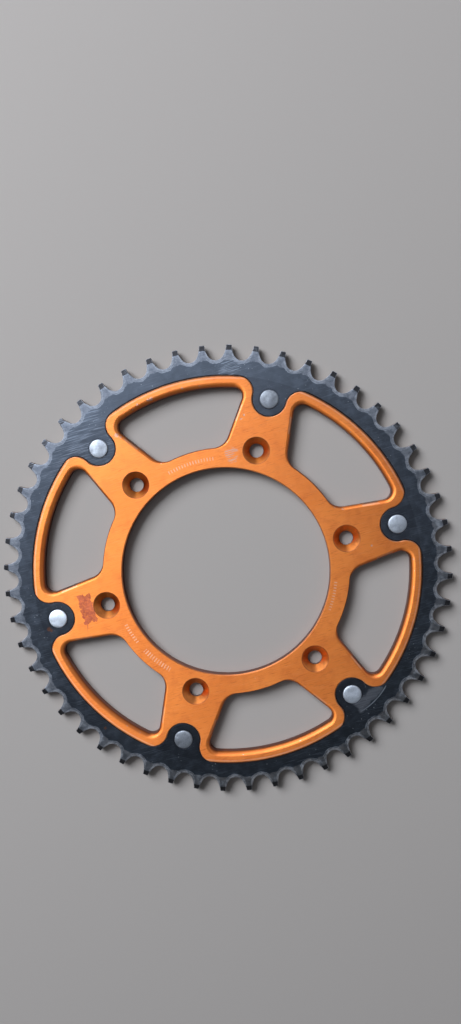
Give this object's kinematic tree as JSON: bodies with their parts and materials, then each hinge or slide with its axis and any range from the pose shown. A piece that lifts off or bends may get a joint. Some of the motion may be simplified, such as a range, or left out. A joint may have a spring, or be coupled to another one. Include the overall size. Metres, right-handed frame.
{
  "type": "rear sprocket",
  "caption": "Two-piece rear chain sprocket: light windowed carrier with countersunk hub bolt holes, a steel toothed ring riveted round its rim.",
  "frame": {"origin": "on the sprocket's axis, in the plane of the carrier's back (hub side) face", "axes": "+Z along the axis towards the front (outer) face, +X through the first rivet; rivets, arms and hub bolts at 0, 60, 120 ... degrees, windows between them"},
  "size_m": [0.271, 0.271, 0.007],
  "materials": {
    "carrier_anodised": "satin orange anodised, brushed grain",
    "ring_steel": "black coated steel, worn to bare grey where the chain runs",
    "rivet_steel": "dull bare steel"
  },
  "bodies": {
    "root": {"carrier": "carrier_anodised", "tooth_ring": "ring_steel", "rivet_1": "rivet_steel", "rivet_2": "rivet_steel", "rivet_3": "rivet_steel", "rivet_4": "rivet_steel", "rivet_5": "rivet_steel", "rivet_6": "rivet_steel"}
  },
  "joints": []
}
